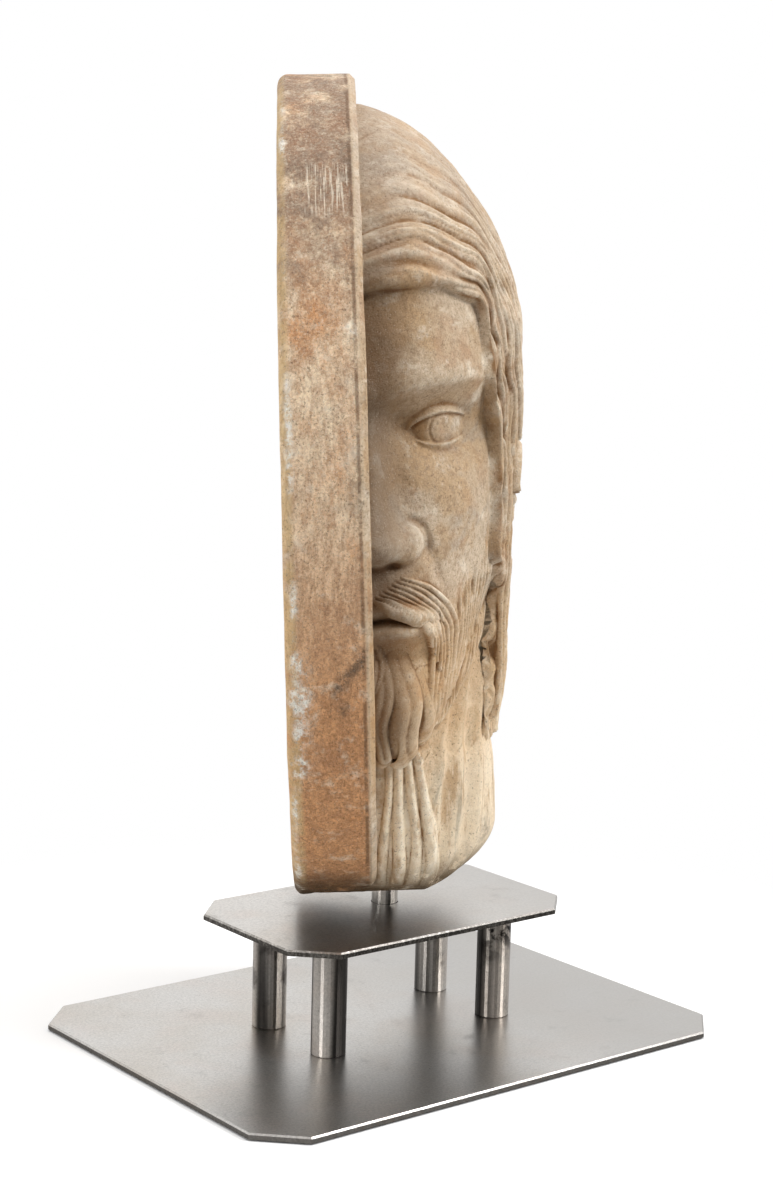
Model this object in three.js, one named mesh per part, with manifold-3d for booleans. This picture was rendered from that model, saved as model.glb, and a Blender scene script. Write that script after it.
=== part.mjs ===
// Oval marble relief plaque: a bearded, long-haired head in profile, carved half in the round on a
// thick oval slab, and held up by a polished rod on a small steel stand.
// Millimetres, +Z up. The origin is the middle of the base plate's underside, +X its long side.

import * as THREE from "three";
import { mergeVertices } from "three/addons/utils/BufferGeometryUtils.js";
import Module from "manifold-3d";

// Stand
const baseLength = 300;
const baseWidth = 225;
const baseThickness = 3;
const baseCorner = 21;
const postDiameter = 18;
const postHeight = 60;
const postInsetX = 35;
const postInsetY = 30;
const postBevel = 0.5;
const topLength = 180;
const topWidth = 112;
const topThickness = 3;
const topCorner = 19;
const plateBevel = 0.8;
const cutterOverrun = 2;

// Rod
const rodDiameter = 14;
const rodX = 4;
const rodY = 5;
const rodFit = 0.3;
const rodEngagement = 40;
const rodTip = 1;

// Slab
const ovalWidth = 320;
const ovalHeight = 420;
const slabTopThickness = 38;
const slabBottomThickness = 42;
const slabClearance = 9.5;
const slabFrontChamfer = 2.5;
const slabBackBevel = 4;
const slabBackBevelAtEnds = 5;
const slabTurn = 36.8;
const slabLean = 2.9;
const rodToFront = 16;

// Head: its height runs from the beard's tips to the top of the hair
const headHeight = 322;
const headTopMargin = 14.5;
const headRoot = 8;
const neckInset = 1.5;
const neckCorner = 34;

// The carving below is given in millimetres for a head of this height, and keeps its share of it
const carvedHeight = 322;
const carvedTop = 195.5;

const crownGap = 0.5;

// How finely the marble and the round bars are divided, with closer rows over the face
const rowCount = 72;
const columnCount = 48;
const columnBunching = 0.34;
const faceRows = { extra: 1.1, middle: -5, reach: 75 };
const ovalSegments = 96;
const roundSegments = 32;
const heightSamples = 400;
const mergeDistance = 1e-4;

// Materials
const plateSteel = new THREE.MeshStandardMaterial({ color: 0xb4b1ad, roughness: 0.42, metalness: 1 });
const postSteel = new THREE.MeshStandardMaterial({ color: 0xa5a29e, roughness: 0.34, metalness: 1 });
const rodSteel = new THREE.MeshStandardMaterial({ color: 0xd6d6d6, roughness: 0.1, metalness: 1 });
const marble = new THREE.MeshStandardMaterial({ color: 0xc8b493, roughness: 0.62, metalness: 0 });

// Small helpers
const radians = THREE.MathUtils.degToRad;
const clamp = THREE.MathUtils.clamp;

function step(from, to, value) {
  const t = clamp((value - from) / (to - from), 0, 1);
  return t * t * (3 - 2 * t);
}

function bump(offset, reach) {
  return Math.exp(-((offset / reach) ** 2));
}

function softMax(a, b, blend) {
  const t = clamp(0.5 + (a - b) / (2 * blend), 0, 1);
  return b + (a - b) * t + blend * t * (1 - t);
}

// A rounded ridge for every whole step of the value, with a sharp valley on each side
function ridge(value) {
  const across = 2 * (value - Math.floor(value)) - 1;
  return 1 - across * across;
}

// A smooth curve through a few [height, value] pairs, listed from the lowest height up
function through(pairs) {
  const slopes = pairs.map((pair, i) => {
    const before = pairs[Math.max(i - 1, 0)];
    const after = pairs[Math.min(i + 1, pairs.length - 1)];
    return (after[1] - before[1]) / (after[0] - before[0]);
  });
  return (height) => {
    const z = clamp(height, pairs[0][0], pairs[pairs.length - 1][0]);
    let i = 0;
    while (i < pairs.length - 2 && z > pairs[i + 1][0]) i += 1;
    const span = pairs[i + 1][0] - pairs[i][0];
    const t = (z - pairs[i][0]) / span;
    const rise = t * t * (3 - 2 * t);
    return (
      pairs[i][1] * (1 - rise) +
      pairs[i + 1][1] * rise +
      span * (t * (1 - t) ** 2 * slopes[i] - t * t * (1 - t) * slopes[i + 1])
    );
  };
}

// The head's main lines, by height: how far it stands out, its middle line in front, and its back
const outline = through([
  [-210, 70], [-172, 71.5], [-140, 70.5], [-124, 68], [-107, 68.5], [-75, 69], [-43, 72], [-11, 76],
  [20, 78.5], [52, 80.5], [83, 82], [98, 80], [114, 75.5], [129, 70], [144, 62], [159, 52],
  [174, 39.5], [185, 25.5], [192, 12], [195.5, 2],
]);
const faceLine = through([
  [-128, -84], [-122, -95], [-108, -101], [-92, -103], [-74, -101], [-53, -104], [-25, -103],
  [10, -101], [40, -103], [58, -108], [80, -108], [101, -103], [108, -108], [122, -102],
  [141, -89], [160, -70], [178, -44], [189, -20], [195.5, 2],
]);
const backLine = through([
  [-210, 72], [-150, 80], [-128, 88], [-105, 97], [-70, 101], [-40, 106], [-10, 119],
  [20, 130], [50, 136], [80, 134], [105, 125], [130, 110], [150, 92], [170, 66], [185, 38], [195.5, 10],
]);
const throatLine = through([
  [-210, -52], [-170, -60], [-140, -64], [-110, -68], [-60, -70], [0, -58], [60, -20], [110, 4],
]);
const jawReach = through([
  [-128, 6], [-124, 19], [-114, 31], [-95, 45], [-70, 58], [-45, 69], [-25, 78], [0, 84], [40, 88],
]);
const middle = 10;
const faceSquareness = 2.35;
const sideSquareness = 2.15;

// Where the hair ends over the forehead and down the temple: a corner in arc length and height
const arcRadius = 105;
const hairCorner = { arc: 72, height: 86, radius: 12 };
const hairDepth = 6.5;
const hairSweep = { slope: 0.3, reach: 80, behindEar: 16, arch: 7, archWidth: 75 };
const hairLocks = { count: 10, spread: 190, wave: 4, waveLength: 19, least: 2, more: 2.6 };
const hairEnd = -132;
const tipHeight = 7;

// The distance up from the hair's edge, in which the strands run side by side
function hairDistance(arc, z) {
  const behindEar = hairSweep.behindEar * step(0, -60, z) * step(290, 150, arc);
  const swept = hairSweep.slope * clamp(hairCorner.height - z, 0, hairSweep.reach) + behindEar;
  const arch = hairSweep.arch * Math.sin(Math.PI * clamp(arc / hairSweep.archWidth, 0, 1));
  const over = arc - swept - hairCorner.arc;
  const up = z - hairCorner.height - arch;
  const outside = Math.hypot(Math.max(over, 0), Math.max(up, 0));
  return (outside || Math.max(over, up)) - hairCorner.radius;
}

function hairStrands(arc, z, distance) {
  const along = arc - z;
  const swing = Math.sin(along / hairLocks.waveLength + distance / 30);
  const wave = hairLocks.wave * swing * step(-90, 0, along);
  const depth = hairLocks.least + hairLocks.more * step(-120, 40, along);
  const lock = hairLocks.count * Math.log(1 + Math.max(distance + wave, 0) / hairLocks.spread);
  return depth * (Math.sin(Math.PI * lock) ** 2 - 0.6);
}

// How far each hanging lock's end is above the lowest one
function hairTips(arc) {
  return tipHeight * (1 - ridge(arc / 14 + 0.2));
}

const beardEnd = -128;

// The beard runs from the temple along the jaw to the chin
function beardCover(x, z) {
  const cheek = 2 - 56 * step(94, 42, x) + 18 * step(42, 12, x);
  return step(cheek + 3, cheek - 7, z);
}

function beardLocks(x, z) {
  const spread = 1 + 1.35 * clamp((z + 126) / 126, 0, 1);
  const sway = 2.2 * Math.sin(z / 15 + x / 24);
  return 2.6 * (ridge((x + sway) / spread / 11 + 0.15) - 0.55);
}

// The moustache lies over the upper lip, turns down round the mouth and ends on the jaw
function moustache(x, z) {
  const from = z > -60 ? Math.hypot(x / 32, (z + 60) / 21) : x / 32;
  return 3.6 * bump(from - 1, 0.24) * step(-88, -76, z);
}

// How far the beard's edge hangs at each place across it, which gives its rounded tips
function beardTips(x) {
  return 5 * (1 - ridge(x / 10 + 0.1)) - 1;
}

// The prop under the beard is cut into soft cords that fan out to the foot
const throatProp = { topWidth: 23, footWidth: 35, height: 67, cords: 4 };

function throatRelief(x, z) {
  const down = clamp((beardEnd - z) / throatProp.height, 0, 1);
  const edge = throatProp.topWidth + (throatProp.footWidth - throatProp.topWidth) * down;
  const cords = ridge((x / edge) * throatProp.cords);
  return (2 + 2.4 * cords) * step(beardEnd + 10, beardEnd - 2, z) * step(edge + 2, edge - 2, x);
}

// Brow, eye, nose, cheek and lips, as a relief towards the front over a plain face
const eye = { x: 38, z: 36, ball: 18.5, halfWidth: 18.5, up: 8.2, down: 6, sunk: 5.5 };
const eyelid = { above: 2.8, below: 1.9 };
const nose = { base: -26, wing: 18.5 };
const mouth = { z: -53, halfWidth: 31 };
const noseHeight = through([
  [-33, 0], [-28, 2], [-24, 15], [-16, 26], [-7, 24.5], [16, 15], [34, 8], [48, 4], [64, 0],
]);
const noseWidth = through([[-30, 17], [-16, 17.5], [-2, 13], [20, 9], [40, 8.5], [52, 13], [64, 24]]);

function eyeRelief(x, z) {
  const dx = x - eye.x;
  const dz = z - eye.z - 0.05 * dx;
  const opening = Math.max(1 - (dx / eye.halfWidth) ** 2, 0);
  const edge = dz > 0 ? eye.up * opening ** 0.7 : eye.down * opening ** 0.85;
  const lid = (dz > 0 ? eyelid.above : eyelid.below) * step(-0.5, 0.5, Math.abs(dz) - edge);
  const inside = (eye.ball + lid) ** 2 - dx * dx - 1.15 * dz * dz;
  return inside > 0 ? Math.sqrt(inside) - eye.ball - eye.sunk : -40;
}

function browRelief(x, z) {
  const above = z - 55 - 7.5 * Math.sin((Math.PI * clamp(x - 6, 0, 80)) / 92);
  const ledge = 6.5 * bump(above, above > 0 ? 13 : 5.5) * step(90, 62, x) * (0.55 + 0.45 * step(4, 20, x));
  const socket = -15.5 * bump(x - 35, 24) * bump(z - 38, 13) - 4 * bump(x - 17, 6) * bump(z - 40, 8);
  const cheek = 5.5 * bump(x - 56, 19) * bump(z - 2, 20);
  const temple = -4 * bump(x - 84, 16) * bump(z - 60, 24);
  return ledge + socket + cheek + temple + 2 * bump(x - 30, 24) * bump(z - 84, 14);
}

function noseRelief(x, z) {
  const bridge = noseHeight(z) * Math.exp(-((x / noseWidth(z)) ** 2.3));
  const fromWing = Math.hypot((x - nose.wing) / 8, (z + 16) / 9);
  const wing = 9.5 * Math.sqrt(Math.max(1 - fromWing ** 2, 0)) * step(nose.base - 2, nose.base + 4, z);
  return softMax(bridge, wing, 4) - 1;
}

function mouthRelief(x, z) {
  const taper = Math.max(1 - (x / mouth.halfWidth) ** 2, 0);
  const line = mouth.z - 1.2 * (x / mouth.halfWidth) ** 2 + bump(x - 9, 6);
  const upperLip = 5 * taper ** 0.5 * bump(z - line - 4.6 * taper ** 0.8, 3.4);
  const lowerLip = 5.8 * taper ** 0.6 * bump(z - line + 5.4 * taper ** 0.8, 4);
  const parting = -4.2 * bump(z - line, 1.8) * step(34, 27, x);
  const chin = 4 * bump(x, 22) * bump(z + 92, 14) - 4 * bump(z + 71, 5.5) * bump(x, 22);
  return 5 * bump(x, 34) * bump(z + 50, 24) + upperLip + lowerLip + parting + chin;
}

function faceRelief(x, z) {
  return softMax(browRelief(x, z), eyeRelief(x, z), 1.2) + noseRelief(x, z) + mouthRelief(x, z);
}

// The ear: how far a place is from its middle, and its shell with a rim, a bowl and the lobe
const ear = { arc: 161, z: -4, reachArc: 15, reachZ: 29 };

function fromEar(arc, z) {
  const up = (z - ear.z + 0.12 * (arc - ear.arc)) / ear.reachZ;
  const squeeze = 1 + 0.34 * step(0.2, -1, up);
  return Math.hypot(((arc - ear.arc) / ear.reachArc) * squeeze, up);
}

function earRelief(arc, z) {
  const from = fromEar(arc, z);
  const bowl = -5 * bump(Math.hypot((arc - ear.arc + 2) / 8, (z - ear.z + 2) / 13), 1);
  return 4 * step(1.35, 0.75, from) + bowl - 1.5;
}

// How far forward the face's rounded front lies at a share of its reach to the side
function faceFront(side, z) {
  return middle + (faceLine(z) - middle) * (1 - side ** faceSquareness) ** (1 / faceSquareness);
}

// A point of the head's carved surface: turn is 0 in front, half a circle at the back
function headPoint(turn, z) {
  const cosTurn = Math.cos(turn);
  const sinTurn = Math.sin(turn);
  const arc = arcRadius * turn;
  const power = 2 / sideSquareness;
  const reach = outline(z);
  const distance = hairDistance(arc, z);
  const hair = step(-1.5, 2.5, distance);
  const aboveTips = z - hairTips(arc);
  const hanging = hair * step(hairEnd - 4, hairEnd + 4, aboveTips);
  const thick = 0.3 * hanging + 0.7 * hair * step(hairEnd + 2, hairEnd + 40, aboveTips);
  const sideShare = step(0.25, 0.8, sinTurn);
  const line = cosTurn > 0 ? throatLine(z) : backLine(z);
  let x = reach * sinTurn ** power;
  let y = middle + Math.abs(cosTurn) ** power * (line - middle);
  let relief = 0;
  let beard = 0;
  if (cosTurn > 0) {
    const tipped = z - beardTips(x) * step(-100, -118, z);
    const faceReach = Math.min(jawReach(tipped), reach);
    const front = faceFront(clamp(x / faceReach, 0, 1), z);
    const chin = step(beardEnd - 3, beardEnd + 3, tipped);
    const face = -softMax(-front * chin - y * (1 - chin), -y, 3);
    const beside = y + (faceFront(clamp(x / reach, 0, 1), z) - y) * step(beardEnd - 2, 10, z);
    y = face + (beside - face) * step(-8, 8, distance);
    relief = faceRelief(x, z) * step(0.12, 0.45, cosTurn) * (1 - hair) * step(-112, -96, z);
    const onFace = step(beardEnd - 3, beardEnd + 6, tipped) * step(1.06, 0.92, x / faceReach) * (1 - hair);
    beard = onFace * Math.max((2.6 + beardLocks(x, z)) * beardCover(x, z), moustache(x, z));
    relief += throatRelief(x, z);
  }
  const sunk = -hairDepth * (1 - thick) * sideShare;
  const crown = step(195, 180, z);
  let strands = hanging * crown * (hairStrands(arc, z, distance) + 1.4 * (1 - sideShare));
  const inEar = step(1.6, 1.1, fromEar(arc, z));
  strands = strands * (1 - inEar) + earRelief(arc, z) * inEar;
  const swell = sunk + strands + beard;
  x += swell * sinTurn;
  y -= swell * cosTurn + relief;
  return [x, y, z];
}

// A closed mesh from rings of the same number of points, listed in the order that they are joined
function loft(rings) {
  const positions = rings.flat(2);
  const count = rings[0].length;
  const faces = [];
  rings.slice(1).forEach((ring, row) => {
    for (let i = 0; i < count; i += 1) {
      const next = (i + 1) % count;
      const low = row * count;
      const high = low + count;
      faces.push(low + i, low + next, high + next, low + i, high + next, high + i);
    }
  });
  for (const row of [0, rings.length - 1]) {
    const ring = rings[row];
    const centre = positions.length / 3;
    positions.push(...[0, 1, 2].map((axis) => ring.reduce((sum, p) => sum + p[axis], 0) / count));
    for (let i = 0; i < count; i += 1) {
      const next = (i + 1) % count;
      if (row === 0) faces.push(centre, row * count + next, row * count + i);
      else faces.push(centre, row * count + i, row * count + next);
    }
  }
  const geometry = new THREE.BufferGeometry();
  geometry.setAttribute("position", new THREE.Float32BufferAttribute(positions, 3));
  geometry.setIndex(faces);
  return geometry;
}

// Joining and cutting
const wasm = await Module();
wasm.setup();

function toSolid(geometry, matrix) {
  const bare = geometry.clone();
  bare.deleteAttribute("normal");
  bare.deleteAttribute("uv");
  if (matrix) bare.applyMatrix4(matrix);
  const merged = mergeVertices(bare, mergeDistance);
  return new wasm.Manifold(
    new wasm.Mesh({
      numProp: 3,
      vertProperties: new Float32Array(merged.attributes.position.array),
      triVerts: new Uint32Array(merged.index.array),
    }),
  );
}

function toGeometry(solid) {
  const mesh = solid.getMesh();
  const geometry = new THREE.BufferGeometry();
  geometry.setAttribute("position", new THREE.BufferAttribute(new Float32Array(mesh.vertProperties), 3));
  geometry.setIndex(new THREE.BufferAttribute(new Uint32Array(mesh.triVerts), 1));
  geometry.computeVertexNormals();
  return geometry;
}

// An upright round bar with bevelled ends, from height 0 up
function roundBar(diameter, height, bevel) {
  const radius = diameter / 2;
  const profile = [
    new THREE.Vector2(0, 0),
    new THREE.Vector2(radius - bevel, 0),
    new THREE.Vector2(radius, bevel),
    new THREE.Vector2(radius, height - bevel),
    new THREE.Vector2(radius - bevel, height),
    new THREE.Vector2(0, height),
  ];
  return new THREE.LatheGeometry(profile, roundSegments).rotateX(Math.PI / 2);
}

// A plate with cut corners and a bevel round its upper edge, from height 0 up
function cornerRing(length, width, corner, inset, z) {
  const x = length / 2 - inset;
  const y = width / 2 - inset;
  const cut = corner - inset * (2 - Math.SQRT2);
  return [
    [x, -y + cut, z], [x, y - cut, z], [x - cut, y, z], [-x + cut, y, z],
    [-x, y - cut, z], [-x, -y + cut, z], [-x + cut, -y, z], [x - cut, -y, z],
  ];
}

function plate(length, width, thickness, corner) {
  return loft([
    cornerRing(length, width, corner, 0, 0),
    cornerRing(length, width, corner, 0, thickness - plateBevel),
    cornerRing(length, width, corner, plateBevel, thickness),
  ]);
}

function named(name, geometry, material) {
  const mesh = new THREE.Mesh(geometry, material);
  mesh.name = name;
  return mesh;
}

// Levels that everything on the stand takes its height from
const topPlateHeight = baseThickness + postHeight;
const topSurface = topPlateHeight + topThickness;
const marbleFoot = topSurface + slabClearance;
const rodTop = marbleFoot + rodEngagement;

function makeStand() {
  const stand = new THREE.Group();
  stand.add(named("base_plate", plate(baseLength, baseWidth, baseThickness, baseCorner), plateSteel));

  const postX = topLength / 2 - postInsetX;
  const postY = topWidth / 2 - postInsetY;
  for (const [side, x] of [["left", -postX], ["right", postX]]) {
    for (const [depth, y] of [["front", -postY], ["back", postY]]) {
      const post = named(`post_${depth}_${side}`, roundBar(postDiameter, postHeight, postBevel), postSteel);
      post.position.set(x, y, baseThickness);
      stand.add(post);
    }
  }

  const seat = roundBar(rodDiameter + 2 * rodFit, topThickness + 2 * cutterOverrun, 0);
  seat.translate(rodX, rodY, -cutterOverrun);
  const topSolid = toSolid(plate(topLength, topWidth, topThickness, topCorner)).subtract(toSolid(seat));
  const topPlate = named("upper_plate", toGeometry(topSolid), plateSteel);
  topPlate.position.z = topPlateHeight;
  stand.add(topPlate);

  const rod = named("support_rod", roundBar(rodDiameter, rodTop - topPlateHeight, rodTip), rodSteel);
  rod.position.set(rodX, rodY, topPlateHeight);
  stand.add(rod);
  return stand;
}

// The slab: rings from its back face to its front, with a rounded corner behind and a small chamfer in front
function slabSolid() {
  const halfWidth = ovalWidth / 2;
  const halfHeight = ovalHeight / 2;
  const ring = (inset, out) =>
    Array.from({ length: ovalSegments }, (_, i) => {
      const angle = (2 * Math.PI * i) / ovalSegments;
      const endness = Math.abs(Math.sin(angle)) ** 3;
      const cut = inset(endness);
      const z = (halfHeight - cut) * Math.sin(angle);
      const share = (z + halfHeight) / ovalHeight;
      const thickness = slabBottomThickness + (slabTopThickness - slabBottomThickness) * share;
      return [out(thickness, endness), (halfWidth - cut) * Math.cos(angle), z];
    });
  const bevel = (endness) => slabBackBevel + (slabBackBevelAtEnds - slabBackBevel) * endness;
  const rounded = [0, Math.PI / 4, Math.PI / 2].map((bend) =>
    ring(
      (endness) => bevel(endness) * (1 - Math.sin(bend)),
      (thickness, endness) => bevel(endness) * (1 - Math.cos(bend)) - thickness,
    ),
  );
  const front = [ring(() => 0, () => -slabFrontChamfer), ring(() => slabFrontChamfer, () => 0)];
  return toSolid(loft([...rounded, ...front]));
}

// Rows lie closer together over the face, and columns in front
function rowHeights(low, high) {
  const weight = (z) => 1 + faceRows.extra * bump(z - faceRows.middle, faceRows.reach);
  const spacing = (high - low) / heightSamples;
  const samples = Array.from({ length: heightSamples + 1 }, (_, i) => low + spacing * i);
  const sums = [0];
  samples.slice(1).forEach((z, i) => sums.push(sums[i] + weight(z)));
  return Array.from({ length: rowCount + 1 }, (_, row) => {
    const target = (sums[heightSamples] * row) / rowCount;
    const i = Math.max(sums.findIndex((sum) => sum >= target), 1);
    const t = (target - sums[i - 1]) / (sums[i] - sums[i - 1]);
    return samples[i - 1] + (samples[i] - samples[i - 1]) * t;
  });
}

const columnTurns = Array.from({ length: columnCount + 1 }, (_, i) => {
  const t = i / columnCount;
  return Math.PI * ((1 - columnBunching) * t + columnBunching * t ** 3);
});

// The head and neck, cut to the oval below and rooted in the slab behind
function headSolid() {
  const scale = headHeight / carvedHeight;
  const lift = ovalHeight / 2 - headTopMargin - carvedTop * scale;
  const low = (-ovalHeight / 2 + neckInset * 2 - lift) / scale;
  const rings = rowHeights(low, carvedTop - crownGap).map((z) => {
    const place = lift + z * scale;
    const share = clamp(1 - ((2 * place) / ovalHeight) ** 2, 0, 1);
    const limit = (ovalWidth / 2) * Math.sqrt(share) - neckInset;
    const rise = clamp((place + ovalHeight / 2) / neckCorner, 0, 1);
    const corner = Math.sqrt(1 - (1 - rise) ** 2);
    const points = columnTurns.map((turn) => {
      const [x, y] = headPoint(turn, z);
      return [Math.max(x, 0) * scale * corner, clamp(y * scale, -limit, limit), place];
    });
    const first = points[0];
    const last = points[points.length - 1];
    return [[-headRoot, first[1], place], ...points, [-headRoot, last[1], place]];
  });
  return toSolid(loft(rings));
}

// The marble sits turned on the stand and leans back a little, while its hole follows the upright rod
function makeMarble() {
  const turned = new THREE.Group();
  turned.position.set(rodX, rodY, marbleFoot + ovalHeight / 2);
  turned.rotation.z = -radians(slabTurn);
  const leaning = new THREE.Group();
  leaning.position.x = -rodToFront;
  leaning.rotation.y = -radians(slabLean);
  turned.add(leaning);
  turned.updateMatrixWorld(true);

  const bore = roundBar(rodDiameter + 2 * rodFit, slabClearance + rodEngagement + rodFit, 0);
  bore.translate(rodX, rodY, topSurface);
  const toLocal = leaning.matrixWorld.clone().invert();
  const solid = slabSolid().add(headSolid()).subtract(toSolid(bore, toLocal));
  leaning.add(named("marble_relief", toGeometry(solid), marble));
  return turned;
}

const plaque = new THREE.Group();
plaque.add(makeStand(), makeMarble());

export default plaque;
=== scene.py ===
import math

import bpy
import numpy as np
from mathutils import Matrix, Vector


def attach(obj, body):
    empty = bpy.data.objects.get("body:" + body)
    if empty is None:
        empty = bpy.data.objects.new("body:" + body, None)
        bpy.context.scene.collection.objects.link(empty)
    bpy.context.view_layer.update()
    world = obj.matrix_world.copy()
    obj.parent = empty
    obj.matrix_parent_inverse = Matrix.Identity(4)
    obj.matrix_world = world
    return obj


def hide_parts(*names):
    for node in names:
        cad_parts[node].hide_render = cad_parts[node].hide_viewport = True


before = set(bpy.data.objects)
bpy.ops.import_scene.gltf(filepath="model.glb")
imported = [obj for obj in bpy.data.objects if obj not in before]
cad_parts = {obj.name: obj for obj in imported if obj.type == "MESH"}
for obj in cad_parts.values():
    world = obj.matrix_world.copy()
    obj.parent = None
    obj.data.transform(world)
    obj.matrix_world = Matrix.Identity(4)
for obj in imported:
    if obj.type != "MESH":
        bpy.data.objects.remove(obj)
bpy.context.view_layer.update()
MM = 0.001

# Sizes shared with the construction, in millimetres
OVAL_WIDTH, OVAL_HEIGHT = 320.0, 420.0
SLAB_TOP_THICKNESS, SLAB_BOTTOM_THICKNESS = 38.0, 42.0
FRONT_CHAMFER, BACK_BEVEL, BACK_BEVEL_AT_ENDS = 2.5, 4.0, 5.0
ROD_X, ROD_Y, ROD_TO_FRONT = 4.0, 5.0, 16.0
SLAB_TURN, SLAB_LEAN = math.radians(36.8), math.radians(2.9)
MARBLE_FOOT = 75.5
CARVED_TOP = 195.5
HEAD_ROOT, NECK_INSET, NECK_CORNER = 8.0, 1.5, 34.0

# Camera, from the plates and posts of the stand: place in millimetres, and focal length in pixels
PHOTO_HEIGHT = 1200
FOCAL_PIXELS = 2289.16
CAMERA_PLACE = (-733.0, -915.5, 406.2)
CAMERA_YAW, CAMERA_PITCH, CAMERA_ROLL = (math.radians(a) for a in (38.529, 8.609, 1.515))
SENSOR_HEIGHT = 36.0

# Light of the room: its bright side with the strengths from dark to bright, and a dark wall
BRIGHT_SIDE, BRIGHT_REACH, WORLD_LIGHT = (0.42, 0.7, 0.55), (-0.8, 0.9), (0.62, 1.15)
DARK_SIDE, DARK_REACH, DARK_LIGHT = (0.2, -0.98, 0.0), (0.66, 0.93), (1, 0.04)
SEEN_WHITE = 1.0
# The floor lies a little under the base plate, so that a thin dark line shows under its edge
FLOOR_LEVEL = -0.8
FLOOR_FADE = (0.2, 0.4)
# The floor's white, and the dark colour it shows only in glossy reflections: a painted dark reflection in the
# steel.
FLOOR_WHITE, FLOOR_PAINTED_REFLECTION = (0.93, 0.93, 0.93), (0.2, 0.195, 0.19)
# Name, place, size and power of each area light, and the place that they all point at
LIGHT_TARGET = (0, 0, 0.3)
AREA_LIGHTS = (
    ("key", (1.0, -1.3, 1.3), (0.8, 0.8), 28),
    ("top", (0.3, 0.2, 1.9), (1.0, 1.0), 8),
    ("side", (-1.6, -0.3, 0.5), (0.22, 1.2), 7),
)


# Numeric helpers, all on numpy arrays
def step(start, end, value):
    t = np.clip((value - start) / (end - start), 0, 1)
    return t * t * (3 - 2 * t)


def curved(t, ends, slopes, span):
    """A smooth curve between two ends with given slopes, at shares t of the span."""
    rise = t * t * (3 - 2 * t)
    bend = t * (1 - t) ** 2 * slopes[0] - t * t * (1 - t) * slopes[1]
    return ends[0] * (1 - rise) + ends[1] * rise + span * bend


def bump(offset, reach):
    return np.exp(-((offset / reach) ** 2))


def soft_max(a, b, blend):
    t = np.clip(0.5 + (a - b) / (2 * blend), 0, 1)
    return b + (a - b) * t + blend * t * (1 - t)


def ridge(value):
    """A rounded ridge for every whole step of the value, with a narrow valley on each side."""
    return np.sqrt(np.sin(math.pi * value) ** 2 + 0.015) - 0.12


def through(pairs):
    """A smooth curve through a few (height, value) pairs, listed from the lowest height up."""
    heights, values = np.array(pairs, float).T
    h, v = (np.pad(numbers, 1, mode="edge") for numbers in (heights, values))
    slopes = (v[2:] - v[:-2]) / (h[2:] - h[:-2])

    def curve(height):
        z = np.clip(height, heights[0], heights[-1])
        i = np.clip(np.searchsorted(heights, z) - 1, 0, len(heights) - 2)
        span = heights[i + 1] - heights[i]
        pairs = (values[i], values[i + 1]), (slopes[i], slopes[i + 1])
        return curved((z - heights[i]) / span, *pairs, span)

    return curve


def noise(points, cell, seed):
    """Smooth seeded value noise from -1 to 1 at an array of points."""
    size = 32
    table = np.random.default_rng(seed).random((size, size, size))
    scaled = np.asarray(points, float) / cell
    low = np.floor(scaled).astype(int)
    t = scaled - low
    t = t * t * (3 - 2 * t)
    total = 0
    for corner in range(8):
        offset = np.array([corner & 1, corner >> 1 & 1, corner >> 2 & 1])
        weight = np.prod(np.where(offset, t, 1 - t), axis=-1)
        index = (low + offset) % size
        total = total + weight * table[index[..., 0], index[..., 1], index[..., 2]]
    return 2 * total - 1


def layered_noise(points, cell, seed):
    """Three layers of noise, each finer and weaker than the one before."""
    return sum(noise(points, cell / 2**i, seed + i) / 2**i for i in range(3)) / 1.6


def flat_noise(u, v, cell, seed):
    return noise(np.stack([u, v, np.zeros_like(u)], -1), cell, seed)


# The head's main lines, by height
outline = through([
    (-210, 70), (-172, 71.5), (-140, 70.5), (-124, 68), (-107, 68.5), (-75, 69), (-43, 72), (-11, 76),
    (20, 78.5), (52, 80.5), (83, 82), (98, 80), (114, 75.5), (129, 70), (144, 62), (159, 52),
    (174, 39.5), (185, 25.5), (192, 12), (195.5, 2),
])
face_line = through([
    (-128, -84), (-122, -95), (-108, -101), (-92, -103), (-74, -101), (-53, -104), (-25, -103),
    (10, -101), (40, -103), (58, -108), (80, -108), (101, -103), (108, -108), (122, -102),
    (141, -89), (160, -70), (178, -44), (189, -20), (195.5, 2),
])
back_line = through([
    (-210, 72), (-150, 80), (-128, 88), (-105, 97), (-70, 101), (-40, 106), (-10, 119),
    (20, 130), (50, 136), (80, 134), (105, 125), (130, 110), (150, 92), (170, 66), (185, 38), (195.5, 10),
])
throat_line = through([
    (-210, -52), (-170, -60), (-140, -64), (-110, -68), (-60, -70), (0, -58), (60, -20), (110, 4),
])
jaw_reach = through([
    (-128, 6), (-124, 19), (-114, 31), (-95, 45), (-70, 58), (-45, 69), (-25, 78), (0, 84), (40, 88),
])
MIDDLE = 10.0
FACE_SQUARENESS, SIDE_SQUARENESS = 2.35, 2.15
ARC_RADIUS = 105.0
HAIR_ARC, HAIR_HEIGHT, HAIR_CORNER, HAIR_DEPTH = 72.0, 86.0, 12.0, 6.5
HAIR_END, BEARD_END = -133, -131
EAR_ARC, EAR_Z = 161.0, -4.0

# The face's own measures
EYE_X, EYE_Z, EYE_BALL, EYE_HALF, EYE_UP, EYE_DOWN, EYE_SUNK = 38.0, 36.0, 18.5, 18.5, 8.2, 6.0, 5.5
UPPER_LID, LOWER_LID, IRIS = 2.8, 1.9, 7.6
NOSE_BASE, NOSE_WING, MOUTH, MOUTH_HALF = -26.0, 18.5, -53.0, 31.0
nose_height = through([
    (-33, 0), (-28, 2), (-24, 15), (-16, 26), (-7, 24.5), (16, 15), (34, 8), (48, 4), (64, 0),
])
nose_width = through([(-30, 17), (-16, 17.5), (-2, 13), (20, 9), (40, 8.5), (52, 13), (64, 24)])


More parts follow.
